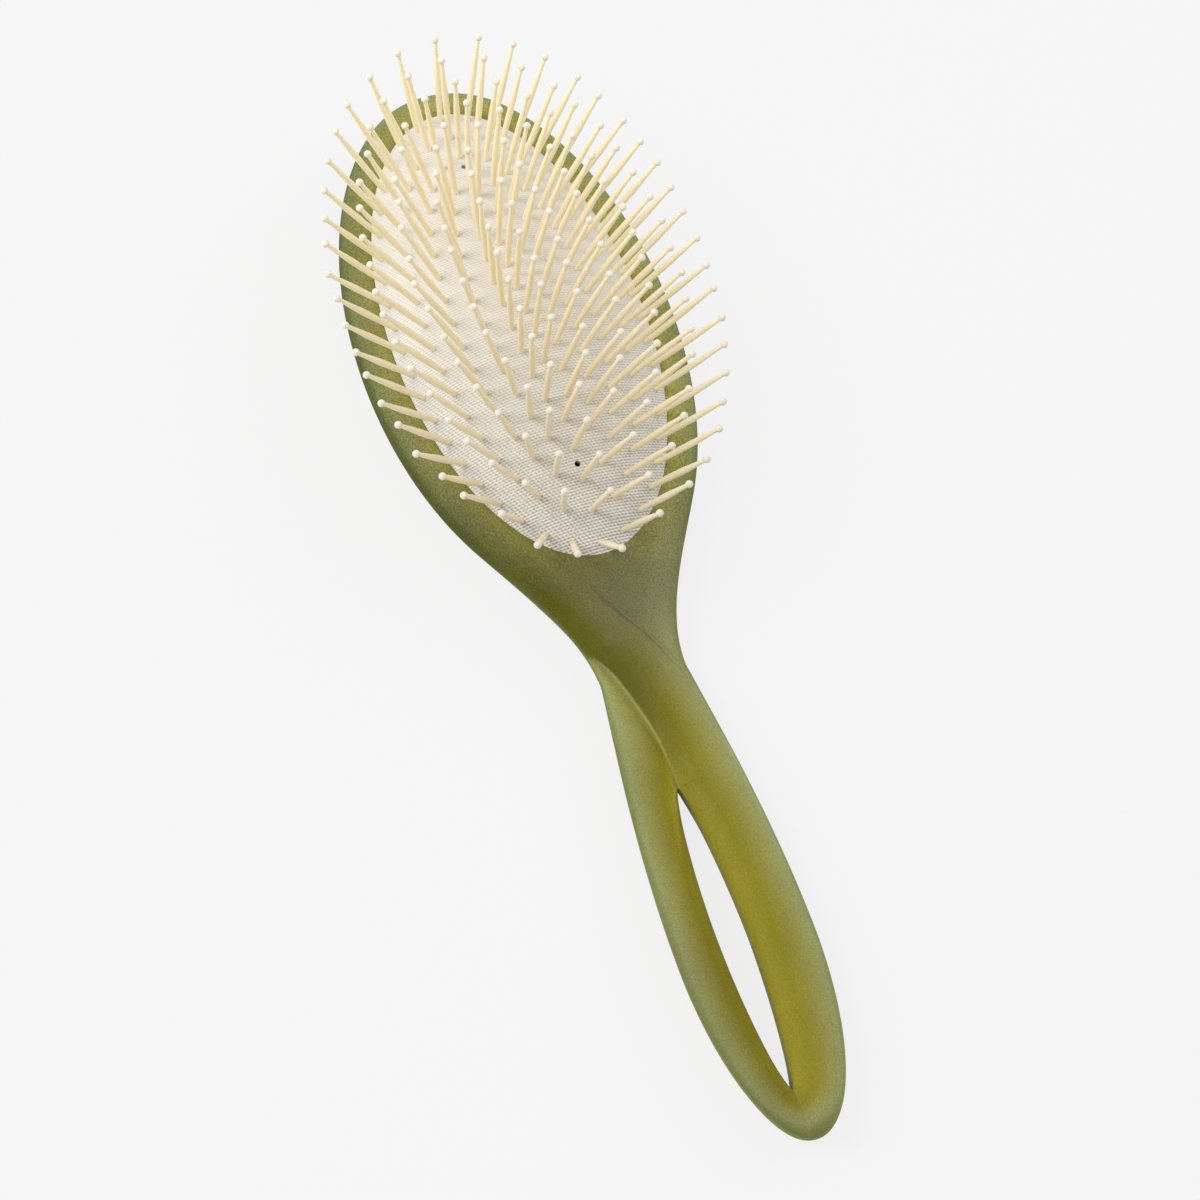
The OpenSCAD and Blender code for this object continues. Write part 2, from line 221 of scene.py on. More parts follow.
SLOT_STEPS = 160
SLOT_X = [-SLOT_FROM - SLOT_L * crowded(step, SLOT_STEPS) for step in range(SLOT_STEPS + 1)]
SLOT_EDGE = [(x, slot_half(x)) for x in SLOT_X]
# The slot's edge is looked for this far along the body, and beyond that the second value is given
SLOT_NEAR, SLOT_FAR = 3, 9.0


def slot_distance(x, y):
    """Distance from a point beside the slot to the slot's edge, which is only measured close to it."""
    if x > -SLOT_FROM + SLOT_NEAR or x < SLOT_END - SLOT_NEAR:
        return SLOT_FAR
    y = abs(y - SLOT_SHIFT)
    best = SLOT_FAR ** 2
    for (x0, y0), (x1, y1) in zip(SLOT_EDGE, SLOT_EDGE[1:]):
        if min(x0, x1) - SLOT_NEAR > x or max(x0, x1) + SLOT_NEAR < x:
            continue
        dx, dy = x1 - x0, y1 - y0
        t = clamp01(((x - x0) * dx + (y - y0) * dy) / (dx * dx + dy * dy))
        best = min(best, (x - x0 - t * dx) ** 2 + (y - y0 - t * dy) ** 2)
    return math.sqrt(best)


def oval_distance(x, y, a, b):
    """Distance from an oval to a point close to its edge, negative inside."""
    rho = math.hypot(x / a, y / b)
    steep = math.hypot(x / a ** 2, y / b ** 2) / max(rho, 1e-9)
    return (rho - 1) / steep


def fillet(d, r):
    """How far a rounding of radius r cuts below a flat face, at a distance d from the face's edge."""
    d = clamp01(d / max(r, 1e-6))
    return r * (1 - math.sqrt(max(0.0, 1 - (1 - d) ** 2)))


def slot_rounded(x, y, z):
    """A strand's height with the slot's edge rounded off, which fades at the slot's tips."""
    r = max(0.0, min(SLOT_FILLET, SLOT_FILLET_SHARE * z)) * ease(slot_half(x) / SLOT_TIP_HALF)
    d = slot_distance(x, y)
    return z - fillet(d, r) if d < r else z


def dome_z(x, y, inset=0.0):
    r = DOME_R - inset
    return DOME_Z + math.sqrt(max(0.0, r * r - x * x - (y / FLATTEN) ** 2))


# Small helpers. Edges sharper than these angles stay sharp.
SMOOTH_SHELL, SMOOTH_PIN, SMOOTH_SKIN = 60, 50, 40


def deselect():
    for o in bpy.context.selected_objects:
        o.select_set(False)


def take(o):
    deselect()
    o.select_set(True)
    bpy.context.view_layer.objects.active = o


def named(name):
    o = bpy.context.active_object
    o.name = name
    o.data.name = name
    return o


def joined(objects, name):
    """These objects as one, in the first one's place."""
    deselect()
    for o in objects:
        o.select_set(True)
    bpy.context.view_layer.objects.active = objects[0]
    if len(objects) > 1:
        bpy.ops.object.join()
    return named(name)


def thicken(o, name, thickness):
    """Gives a skin a thickness, inwards."""
    take(o)
    wall = o.modifiers.new(name, "SOLIDIFY")
    wall.thickness = thickness
    wall.offset = -1
    bpy.ops.object.modifier_apply(modifier=wall.name)


def shell_grid(name, side, stations, profile):
    """A grid whose rows are stations along the body and whose columns follow one side's profile."""
    rows, columns = len(stations), len(profile(0, side))
    deselect()
    bpy.ops.mesh.primitive_grid_add(x_subdivisions=rows - 1, y_subdivisions=columns - 1, size=2)
    o = named(name)
    for i in range(rows):
        for j, point in enumerate(profile(i, side)):
            o.data.vertices[j * rows + i].co = Vector(point) * MM
    return o


def close_shell(name, halves):
    """Joins the two sides, without the faces that they would share on the middle line."""
    o = joined(halves, name)
    bpy.ops.object.mode_set(mode="EDIT")
    bpy.ops.mesh.select_mode(type="FACE")
    bpy.ops.mesh.select_all(action="DESELECT")
    bpy.ops.object.mode_set(mode="OBJECT")
    middle = [abs(v.co.y / MM - middle_y(v.co.x / MM)) < 1e-3 for v in o.data.vertices]
    for f in o.data.polygons:
        f.select = all(middle[v] for v in f.vertices)
    bpy.ops.object.mode_set(mode="EDIT")
    bpy.ops.mesh.delete(type="FACE")
    bpy.ops.mesh.select_all(action="SELECT")
    bpy.ops.mesh.remove_doubles(threshold=2e-6)
    bpy.ops.mesh.dissolve_degenerate(threshold=1e-6)
    bpy.ops.mesh.normals_make_consistent(inside=False)
    bpy.ops.object.mode_set(mode="OBJECT")
    bpy.ops.object.shade_smooth_by_angle(angle=math.radians(SMOOTH_SHELL))
    return o


def knots(ends, counts):
    """Stations between each pair of ends, closer together near the ends."""
    out = []
    for (a, b), n in zip(zip(ends, ends[1:]), counts):
        out += [mix(a, b, crowded(k, n)) for k in range(n)]
    return out + [ends[-1]]


# Rows of each shell: behind the slot, along it, at the crossing, along the pad and past it
FRONT_SEGMENTS = (26, 84, 290, 96, 22)
BACK_SEGMENTS = (26, 84, 90, 96, 22)
FRONT_ACROSS, BACK_ACROSS, PARTING_STEPS = 72, 40, 4
WALL_SHARES = (0.33, 0.66)
ON_EDGE = 0.01


# Front frame
def build_front_frame():
    hole_a, hole_b = PAD_A + SEAT_GAP, PAD_B + SEAT_GAP
    top_x = knots((-REACH, SLOT_END, -SLOT_FROM, -hole_a, hole_a, HEAD_A), FRONT_SEGMENTS)
    seat_a, seat_b = hole_a + FLANGE_REACH, hole_b + FLANGE_REACH
    low_x = knots((-REACH, SLOT_END, -SLOT_FROM, -seat_a, seat_a, HEAD_A), FRONT_SEGMENTS)
    r_flange = math.sqrt((DOME_R + SEAT_GAP) ** 2 - (FLANGE_Z - DOME_Z) ** 2)

    def opening(x, a, b):
        return oval(x, a, b) if abs(x) < a else slot_half(x)

    def profile(i, side):
        x, xl = top_x[i], low_x[i]
        w, inner = side * half_width(x), side * opening(x, hole_a, hole_b)
        low_inner = side * opening(xl, seat_a, seat_b)
        pts = []
        for j in range(PARTING_STEPS + 1):
            t = j / PARTING_STEPS
            pts.append((mix(xl, x, t), mix(middle_y(xl) + low_inner, w, t), PART_Z))
        for j in range(1, FRONT_ACROSS + 1):
            y = mix(w, middle_y(x) + inner, crowded(j, FRONT_ACROSS))
            z = slot_rounded(x, y, front_height(x, y))
            if x > -PAD_A - 4 * PAD_FILLET:
                d = oval_distance(x, y, hole_a, hole_b)
                if -ON_EDGE < d < PAD_FILLET and z > 2 * PAD_FILLET:
                    z -= fillet(d, PAD_FILLET)
            pts.append((x, y, PART_Z + z))
        if abs(x) <= hole_a + 1e-6:
            k = r_flange / hole_a
            pts.append((x * k, inner * k, FLANGE_Z))
            pts.append((xl, low_inner, FLANGE_Z))
        else:
            z = pts[-1][2]
            for t in WALL_SHARES:
                at = mix(x, xl, t)
                pts.append((at, middle_y(at) + inner, mix(z, PART_Z, t)))
        pts.append(pts[0])
        return pts

    halves = [shell_grid("frame_side", side, top_x, profile) for side in (1, -1)]
    return close_shell("front_frame_body", halves)


# Back shell
def build_back_shell():
    a, b = PAD_A + FLANGE_REACH - FLANGE_W, PAD_B + FLANGE_REACH - FLANGE_W
    start = SLOT_FROM - SLOT_LEAD
    xs = knots((-REACH, SLOT_END, -start, -a, a, HEAD_A), BACK_SEGMENTS)

    def profile(i, side):
        x = xs[i]
        w = side * half_width(x)
        chamber = side * oval(x, a, b) if abs(x) < a else 0.0
        inner = middle_y(x) + side * slot_half(x, start)
        pts = [(x, chamber or inner, PART_Z), (x, w, PART_Z)]
        for j in range(1, BACK_ACROSS + 1):
            y = mix(w, inner, crowded(j, BACK_ACROSS))
            pts.append((x, y, PART_Z - slot_rounded(x, y, back_height(x, y))))
        if abs(x) < a + 1e-6:
            pts += [(x, 0.0, BACK_WALL), (x, chamber, BACK_WALL)]
        else:
            z = pts[-1][2]
            pts += [(x, inner, mix(z, PART_Z, t)) for t in WALL_SHARES]
        pts.append(pts[0])
        return pts

    halves = [shell_grid("back_side", side, xs, profile) for side in (1, -1)]
    return close_shell("back_shell_body", halves)


# Pins
QUARTERS = ["head_left", "handle_left", "handle_right", "head_right"]
WALK_STEPS = 720


def ring_feet(k):
    """Even steps round the oval of one ring, from the head's end to the left."""
    t = k / (len(RING_PINS) - 1)
    a, b = mix(PAD_A - RING_INSET, INNER_RING_A, t), mix(PAD_B - RING_INSET, INNER_RING_B, t)
    steps = [2 * math.pi * s / WALK_STEPS for s in range(WALK_STEPS + 1)]
    path = [(a * math.cos(t), b * math.sin(t)) for t in steps]
    gone = [0.0]
    for p, q in zip(path, path[1:]):
        gone.append(gone[-1] + math.dist(p, q))
    feet = []
    s = 0
    for j in range(RING_PINS[k]):
        aim = gone[-1] * j / RING_PINS[k]
        while gone[s + 1] < aim:
            s += 1
        t = (aim - gone[s]) / (gone[s + 1] - gone[s])
        feet.append((mix(path[s][0], path[s + 1][0], t), mix(path[s][1], path[s + 1][1], t)))
    return feet


def feet_by_node():
    """The feet of the pins of every node: each ring's quarters, and the middle row."""
    nodes = {}
    for k, count in enumerate(RING_PINS):
        for j, foot in enumerate(ring_feet(k)):
            quarter = QUARTERS[int((j + 0.5) * len(QUARTERS) / count)]
            nodes.setdefault(f"ring_{k + 1}_pins_{quarter}", []).append(foot)
    nodes["middle_row_pins"] = [((j - (ROW_PINS - 1) / 2) * ROW_PITCH, 0.0) for j in range(ROW_PINS)]
    return nodes


PIN_FEET = feet_by_node()
FEET = [f for feet in PIN_FEET.values() for f in feet]
UNEVEN = random.Random(5)
# Every pin leans a little, and the three past this place at the handle's end are bent outwards
PIN_LEAN, BENT_X, BENT_Y, BENT_LEAN = 0.016, -45, -1, Vector((-0.2, 0.04, 0))
PIN_SIDES, BALL_ROWS = 12, 8


def build_pin():
    """One pin that points up from the origin, with its head under the rubber and its ball on top."""
    depth = FABRIC_T + RUBBER_T + ROOT_GAP
    ball_z = PIN_L - BALL_D / 2
    root_r, foot_r, swell_r, waist_r = ROOT_D / 2, PIN_D / 2, PIN_SWELL_D / 2, PIN_WAIST_D / 2
    profile = [(0, -depth - ROOT_T), (root_r, -depth - ROOT_T), (root_r, -depth),
               (foot_r, -depth), (foot_r, 0)]
    shaft = ((foot_r, FOOT_SHARE), (swell_r, SWELL_SHARES[0]), (swell_r, SWELL_SHARES[1]),
             (waist_r, WAIST_SHARES[0]), (waist_r, WAIST_SHARES[1]))
    profile += [(r, part * PIN_L) for r, part in shaft]
    first = math.asin(PIN_WAIST_D / BALL_D)
    shaft_rows = len(profile)
    for k in range(BALL_ROWS):
        t = mix(math.pi - first, 0, k / (BALL_ROWS - 1))
        profile.append((BALL_D / 2 * math.sin(t), ball_z + BALL_D / 2 * math.cos(t)))
    rows = len(profile)
    deselect()
    bpy.ops.mesh.primitive_grid_add(x_subdivisions=rows - 1, y_subdivisions=PIN_SIDES, size=2)
    o = named("pin")
    ball = o.data.attributes.new("ball", "FLOAT", "POINT")
    for i, (r, z) in enumerate(profile):
        for j in range(PIN_SIDES + 1):
            t = 2 * math.pi * j / PIN_SIDES
            o.data.vertices[j * rows + i].co = Vector((r * math.cos(t), r * math.sin(t), z)) * MM
            ball.data[j * rows + i].value = float(i >= shaft_rows)
    bpy.ops.object.mode_set(mode="EDIT")
    bpy.ops.mesh.select_all(action="SELECT")
    bpy.ops.mesh.remove_doubles(threshold=1e-6)
    bpy.ops.mesh.normals_make_consistent(inside=False)
    bpy.ops.object.mode_set(mode="OBJECT")
    bpy.ops.object.shade_smooth_by_angle(angle=math.radians(SMOOTH_PIN))
    return o


def stand_pins(pin, name, feet):
    """Copies of the pin, about square to the dome at every foot, as one object."""
    copies = []
    for x, y in feet:
        z = dome_z(x, y)
        normal = Vector((x, y / FLATTEN ** 2, z - DOME_Z)).normalized()
        lean = Vector((UNEVEN.gauss(0, PIN_LEAN), UNEVEN.gauss(0, PIN_LEAN), 0))
        if x < BENT_X and y > BENT_Y:
            lean += BENT_LEAN
        turn = (normal + lean).to_track_quat("Z", "Y").to_matrix().to_4x4()
        o = bpy.data.objects.new(name, pin.data.copy())
        bpy.context.collection.objects.link(o)
        o.data.transform(Matrix.Translation(Vector((x, y, z)) * MM) @ turn)
        copies.append(o)
    return joined(copies, name + "_set")


# Cushion and fabric
FABRIC_GRID, CUSHION_GRID = (230, 116), (130, 66)
# Play at the skins' edges, a gap between fabric and rubber, and the share of its thickness that the
# fabric is drawn with, so that it lies clear of the rubber
FABRIC_PLAY, RUBBER_PLAY, SKIN_GAP, FABRIC_THIN = 0.02, 0.05, 0.02, 0.9
# The feet of the pins are looked up by squares of this width
CELL = 6
VENT_SIDES, VENT_DRILL_L, FLANGE_SIDES = 32, 8, 160


def dome_reach(inset):
    """How far the dome, or a skin under it, reaches at the flange's height."""
    return math.sqrt((DOME_R - inset) ** 2 - (FLANGE_Z - DOME_Z) ** 2)


def pad_surface(name, inset, reach, grid):
    """A crowned oval skin on the dome, drawn in a little round every pin."""
    deselect()
    bpy.ops.mesh.primitive_grid_add(x_subdivisions=grid[0], y_subdivisions=grid[1], size=2)
    o = named(name)
    cells = {}
    for f in FEET:
        cells.setdefault((round(f[0] / CELL), round(f[1] / CELL)), []).append(f)
    for v in o.data.vertices:
        u, w = v.co.x, v.co.y
        x = reach * u * math.sqrt(1 - w * w / 2)
        y = reach * FLATTEN * w * math.sqrt(1 - u * u / 2)
        z = dome_z(x, y, inset)
        cx, cy = round(x / CELL), round(y / CELL)
        sink = 0.0
        for a in (cx - 1, cx, cx + 1):
            for b in (cy - 1, cy, cy + 1):
                for f in cells.get((a, b), ()):
                    d = math.hypot(x - f[0], y - f[1])
                    sink += DIMPLE_H * hump(max(0.0, d - DIMPLE_R), 0, DIMPLE_W)
        v.co = Vector((x, y, z - sink)) * MM
    return o


def drill_vents(o):
    for side in (-1, 1):
        x = side * VENT_AT
        normal = Vector((x, 0, dome_z(x, 0) - DOME_Z)).normalized()
        at = Vector((x, 0, dome_z(x, 0)))
        deselect()
        turn = normal.to_track_quat("Z", "Y").to_euler()
        bpy.ops.mesh.primitive_cylinder_add(vertices=VENT_SIDES, radius=VENT_D / 2 * MM,
                                            depth=VENT_DRILL_L * MM, location=at * MM, rotation=turn)
        drill = named("vent_drill")
        take(o)
        hole = o.modifiers.new("vent", "BOOLEAN")
        hole.operation = "DIFFERENCE"
        hole.solver = "EXACT"
        hole.object = drill
        bpy.ops.object.modifier_apply(modifier=hole.name)
        bpy.data.objects.remove(drill, do_unlink=True)


def build_fabric():
    o = pad_surface("woven_cover", 0.0, dome_reach(0.0) - FABRIC_PLAY, FABRIC_GRID)
    thicken(o, "cloth", FABRIC_T * MM * FABRIC_THIN)
    drill_vents(o)
    take(o)
    bpy.ops.object.shade_smooth_by_angle(angle=math.radians(SMOOTH_SKIN))
    return o


def build_flange():
    """The rubber's flange, which the frame and the clamp ring hold."""
    deselect()
    bpy.ops.mesh.primitive_circle_add(vertices=FLANGE_SIDES, radius=1, location=(0, 0, 0),
                                      fill_type="NOTHING")
    flange = named("cushion_flange")
    a, b = PAD_A + FLANGE_REACH, PAD_B + FLANGE_REACH
    for v in flange.data.vertices:
        v.co = Vector((v.co.x * a, v.co.y * b, FLANGE_Z)) * MM
    bpy.ops.object.mode_set(mode="EDIT")
    bpy.ops.mesh.select_all(action="SELECT")
    bpy.ops.mesh.extrude_region_move(TRANSFORM_OT_translate={"value": (0, 0, -FLANGE_T * MM)})
    bpy.ops.mesh.select_all(action="SELECT")
    bpy.ops.mesh.normals_make_consistent(inside=False)
    bpy.ops.object.mode_set(mode="OBJECT")
    thicken(flange, "flange", FLANGE_W * MM)
    return flange


def build_cushion():
    o = pad_surface("air_cushion", FABRIC_T + SKIN_GAP, dome_reach(FABRIC_T) - RUBBER_PLAY, CUSHION_GRID)
    thicken(o, "rubber", RUBBER_T * MM)
    drill_vents(o)
    o = joined([o, build_flange()], "air_cushion")
    bpy.ops.object.shade_smooth_by_angle(angle=math.radians(SMOOTH_SKIN))
    return o


# Materials: helpers
def feed(tree, socket, x):
    """Gives an input another node's output, or a value."""
    if isinstance(x, bpy.types.NodeSocket):
        tree.links.new(x, socket)
    else:
        socket.default_value = x


def node(tree, kind, **values):
    n = tree.nodes.new(kind)
    for k, v in values.items():
        setattr(n, k, v)
    return n


def maths(tree, operation, *inputs):
    n = node(tree, "ShaderNodeMath", operation=operation)
    for socket, x in zip(n.inputs, inputs):
        feed(tree, socket, x)
    return n.outputs[0]


def mapped(tree, value, low, high, to_low=0.0, to_high=1.0):
    """A value moved from one range to another, and held at the ends."""
    n = node(tree, "ShaderNodeMapRange")
    for name, x in (("From Min", low), ("From Max", high), ("To Min", to_low), ("To Max", to_high)):
        n.inputs[name].default_value = x
    tree.links.new(value, n.inputs["Value"])
    return n.outputs["Result"]


def blend(tree, factor, a, b, how="MIX"):
    n = node(tree, "ShaderNodeMix", data_type="RGBA", blend_type=how)
    feed(tree, n.inputs["Factor"], factor)
    for name, x in (("A", a), ("B", b)):
        feed(tree, n.inputs[name], x + (1,) if isinstance(x, tuple) else x)
    return n.outputs["Result"]


def ramp(tree, factor, stops):
    n = node(tree, "ShaderNodeValToRGB")
    tree.links.new(factor, n.inputs["Fac"])
    while len(n.color_ramp.elements) < len(stops):
        n.color_ramp.elements.new(0.5)
    for element, (at, colour) in zip(n.color_ramp.elements, stops):
        element.position = at
        element.color = colour + (1,)
    return n.outputs["Color"]


def noise(tree, vector, scale, detail):
    n = node(tree, "ShaderNodeTexNoise")
    feed(tree, n.inputs["Vector"], vector)
    feed(tree, n.inputs["Scale"], scale)
    n.inputs["Detail"].default_value = detail
    return n.outputs["Fac"]


def mark(tree, name):
    """A value that is kept at every vertex."""
    return node(tree, "ShaderNodeAttribute", attribute_name=name).outputs["Fac"]


def along_body(tree, vector):
    """The place along the body's long axis."""
    place = node(tree, "ShaderNodeSeparateXYZ")
    tree.links.new(vector, place.inputs[0])
    return place.outputs["X"]


def new_group(name, inputs, outputs):
    """A new node group, with what it is given and what it puts out."""
    g = bpy.data.node_groups.new(name, "ShaderNodeTree")
    for socket, kind in inputs.items():
        g.interface.new_socket(socket, in_out="INPUT", socket_type=kind)
    for socket in outputs:
        g.interface.new_socket(socket, in_out="OUTPUT", socket_type="NodeSocketFloat")
    return g, g.nodes.new("NodeGroupInput").outputs, g.nodes.new("NodeGroupOutput").inputs


# Materials: textures
GRAIN_DETAIL, CLOUD_SCALE, CLOUD_DETAIL = 3, 60, 2


def fine_grain_group():
    """A fine moulded grain: a height for the bump and a mottle for the colour."""
    g, given, out = new_group("moulded_grain", {"Vector": "NodeSocketVector", "Scale": "NodeSocketFloat"},
                              ["Height", "Mottle"])
    feed(g, out["Height"], noise(g, given["Vector"], given["Scale"], GRAIN_DETAIL))
    feed(g, out["Mottle"], noise(g, given["Vector"], CLOUD_SCALE, CLOUD_DETAIL))
    return g


# The weave in millimetres, and each wave's weight and phase
WEAVE_ROW, WEAVE_SLIT, WEAVE_LEAN = 0.55, 0.76, 0.11
ROW_WAVE, SLIT_WAVE, CROSS_WAVE = (1.7, 1.45), (0.9, 0), (0.5, 0)
THREAD_SCALE, THREAD_DETAIL, THREAD_WEIGHT = 2300, 2, 5.0
GAP_FROM, GAP_FULL = 0.8, 4.5
# The gaps, with the painted shade in them, show most at the handle's end and least from the middle of the
# head on
OPEN_AT, CLOSED_AT, OPEN_SHARE, CLOSED_SHARE = -52, 5, 1.0, 0.35


def weave_group():
    """An open weave: rows of narrow slits that lean, each row half a step from the next."""
    g, given, out = new_group("open_weave", {"Vector": "NodeSocketVector"}, ["Height", "Gap"])
    row, slit, lean = 1 / (WEAVE_ROW * MM), 1 / (WEAVE_SLIT * MM), WEAVE_LEAN / (WEAVE_ROW * MM)
    total = 0.0
    for (weight, phase), pitch in ((ROW_WAVE, (row, 0, 0)),
                                   (SLIT_WAVE, (row / 2 - lean, -slit, 0)),
                                   (CROSS_WAVE, (row / 2 + lean, slit, 0))):
        dot = node(g, "ShaderNodeVectorMath", operation="DOT_PRODUCT")
        g.links.new(given["Vector"], dot.inputs[0])
        dot.inputs[1].default_value = [2 * math.pi * p for p in pitch]
        wave = maths(g, "COSINE", maths(g, "ADD", dot.outputs["Value"], phase))
        total = maths(g, "MULTIPLY_ADD", wave, weight, total)
    threads = noise(g, given["Vector"], THREAD_SCALE, THREAD_DETAIL)
    total = maths(g, "MULTIPLY_ADD", threads, THREAD_WEIGHT, total)
    gap = mapped(g, total, GAP_FROM, GAP_FULL)
    place = along_body(g, given["Vector"])
    opened = mapped(g, place, OPEN_AT * MM, CLOSED_AT * MM, OPEN_SHARE, CLOSED_SHARE)
    gap = maths(g, "MULTIPLY", gap, opened)
    feed(g, out["Height"], maths(g, "SUBTRACT", 1.0, gap))
    feed(g, out["Gap"], gap)
    return g


GRAIN = fine_grain_group()
WEAVE = weave_group()


def start_material(name, **values):
    """A new material, its shader with these values, and the place on the object."""
    m = bpy.data.materials.new(name)
    m.use_nodes = True
    tree = m.node_tree
    tree.nodes.clear()
    out = tree.nodes.new("ShaderNodeOutputMaterial")
    shader = tree.nodes.new("ShaderNodeBsdfPrincipled")
    tree.links.new(shader.outputs[0], out.inputs["Surface"])
    for k, v in values.items():
        shader.inputs[k.replace("_", " ")].default_value = v
    return m, tree, shader, tree.nodes.new("ShaderNodeTexCoord").outputs["Object"]


def placed(tree, group, vector, **inputs):
    n = node(tree, "ShaderNodeGroup", node_tree=group)
    tree.links.new(vector, n.inputs["Vector"])
    for k, v in inputs.items():
        n.inputs[k].default_value = v
    return n.outputs


def bump(tree, shader, height, strength, distance):
    b = node(tree, "ShaderNodeBump")
    b.inputs["Strength"].default_value = strength
    b.inputs["Distance"].default_value = distance
    tree.links.new(height, b.inputs["Height"])
    tree.links.new(b.outputs["Normal"], shader.inputs["Normal"])


# The plastic's colours, from the outline inwards: its own olive, with a painted dark line at the outline,
# a painted sheen on the outer flanks and a painted glow of light through the thin plastic at the slot's
# edge
STRAND_COLOUR_AND_LIGHT_STOPS = [(0.0, (0.205, 0.225, 0.061)), (0.12, (0.303, 0.313, 0.127)), (0.3, (0.291, 0.279, 0.079)),
                (0.5, (0.252, 0.230, 0.040)), (0.7, (0.236, 0.201, 0.008)), (1.0, (0.307, 0.264, 0.027))]
HEAD_COLOUR_AND_LIGHT_STOPS = [(0.0, (0.096, 0.111, 0.007)), (0.15, (0.232, 0.250, 0.088)), (0.35, (0.282, 0.287, 0.099)),
              (0.8, (0.376, 0.344, 0.097)), (1.0, (0.308, 0.288, 0.067))]
# Painted shade: the web's colour darkens the neck under the upper strand, the flank's colour the upper
# strand's left flank
WEB_SHADE_COLOUR, FLANK_SHADE_COLOUR = (0.030, 0.043, 0.103), (0.104, 0.101, 0.006)
# The painted highlight's colour for the crossing's edges, and black for the painted shade
HIGHLIGHT_COLOUR, BLACK = (0.50, 0.47, 0.24), (0.0, 0.0, 0.0)
# Strengths of the mottle and of the speckle, on the handle and on the head, where both show more
MOTTLE_STRENGTHS, SPECKLE_STRENGTHS, SPECKLE_RANGE = (0.15, 0.3), (0.2, 0.45), (0.3, 0.7)


def frosted_olive():
    m, tree, shader, at = start_material(
        "frosted_olive_plastic", Roughness=0.55, Specular_IOR_Level=0.1, Subsurface_Weight=0.5,
        Subsurface_Radius=(1.0, 0.8, 0.2), Subsurface_Scale=0.004)
    strand = ramp(tree, mark(tree, "across"), STRAND_COLOUR_AND_LIGHT_STOPS)
    head = ramp(tree, mark(tree, "inwards"), HEAD_COLOUR_AND_LIGHT_STOPS)
    tone = blend(tree, mark(tree, "head"), strand, head)
    # The neck's web, the upper strand's flank and the shade mark blend in painted shade; the pale lines at
    # the crossing's edges are a painted highlight
    for name, colour in (("web", WEB_SHADE_COLOUR), ("over_flank_shade", FLANK_SHADE_COLOUR), ("edge_highlight", HIGHLIGHT_COLOUR),
                         ("shade", BLACK)):
        tone = blend(tree, mark(tree, name), tone, colour)
    grain = placed(tree, GRAIN, at, Scale=1400.0)
    speckle = mapped(tree, placed(tree, GRAIN, at, Scale=3300.0)["Height"], *SPECKLE_RANGE)
    for mottle, strengths in ((grain["Mottle"], MOTTLE_STRENGTHS), (speckle, SPECKLE_STRENGTHS)):
        strength = mapped(tree, mark(tree, "head"), 0.0, 1.0, *strengths)
        tone = blend(tree, strength, tone, mottle, "OVERLAY")
    tree.links.new(tone, shader.inputs["Base Color"])
    bump(tree, shader, grain["Height"], strength=0.12, distance=0.00008)
    return m


# The threads' own colour, the painted shade in the weave's gaps, and the mottle's strength
THREAD_COLOUR, GAP_SHADE_COLOUR, COTTON_MOTTLE = (0.86, 0.825, 0.76), (0.37, 0.335, 0.285), 0.12


def woven_cotton():
    m, tree, shader, at = start_material("off_white_weave", Roughness=0.9, Sheen_Weight=0.2,
                                         Sheen_Roughness=0.5)
    weave = placed(tree, WEAVE, at)
    grain = placed(tree, GRAIN, at, Scale=900.0)
    colour = blend(tree, weave["Gap"], THREAD_COLOUR, GAP_SHADE_COLOUR)
    tone = blend(tree, COTTON_MOTTLE, colour, grain["Mottle"], "MULTIPLY")
    tree.links.new(tone, shader.inputs["Base Color"])
    bump(tree, shader, weave["Height"], strength=0.5, distance=0.00012)
    return m


SHAFT_COLOUR, SHAFT_PALE, BALL_COLOUR = (0.935, 0.81, 0.55), (0.965, 0.88, 0.68), (0.83, 0.77, 0.655)
# Painted shade: the pins a little darker towards the handle, between these places
PIN_SHADE_COLOUR, DEEP_AT, PLAIN_AT, PIN_SHADE_SHARE = (0.35, 0.30, 0.21), -60, 15, 0.2


def cream_pin():
    m, tree, shader, at = start_material(
        "cream_pin_plastic", Roughness=0.45, Specular_IOR_Level=0.3, Subsurface_Weight=0.3,
        Subsurface_Radius=(1.0, 0.8, 0.5), Subsurface_Scale=0.001)
    grain = placed(tree, GRAIN, at, Scale=2500.0)
    shaft = blend(tree, grain["Mottle"], SHAFT_COLOUR, SHAFT_PALE)
    colour = blend(tree, mark(tree, "ball"), shaft, BALL_COLOUR)
    shaded = mapped(tree, along_body(tree, at), DEEP_AT * MM, PLAIN_AT * MM, PIN_SHADE_SHARE, 0.0)
    tree.links.new(blend(tree, shaded, colour, PIN_SHADE_COLOUR), shader.inputs["Base Color"])
    bump(tree, shader, grain["Height"], strength=0.05, distance=0.00005)
    return m


RUBBER_COLOUR, RUBBER_PALE = (0.58, 0.56, 0.50), (0.64, 0.62, 0.56)


def soft_rubber():
    m, tree, shader, at = start_material("cushion_rubber", Roughness=0.7)
    grain = placed(tree, GRAIN, at, Scale=1200.0)
    colour = blend(tree, grain["Mottle"], RUBBER_COLOUR, RUBBER_PALE)
    tree.links.new(colour, shader.inputs["Base Color"])
    bump(tree, shader, grain["Height"], strength=0.2, distance=0.0001)
    return m


# The plastic's tones, painted shade among them. Each of these is the distance from the head's middle at
# which a tone begins to rise, and the length that it takes.
HEAD_RISE, PALE_RISE, TAIL_RISE = (80, 45.9), (103, 20), (REACH, 9)
FLANK_NARROWS, FLANK_RISE, FLANK_FADE = (40, 45), (17.2, 58.5), (63.6, 52.5)
LEFT_WIDENS, LEFT_RISE, LEFT_TAIL_RISE, RIGHT_RISE = (156, 10), (80, 15), (105, 40), (125, 40)
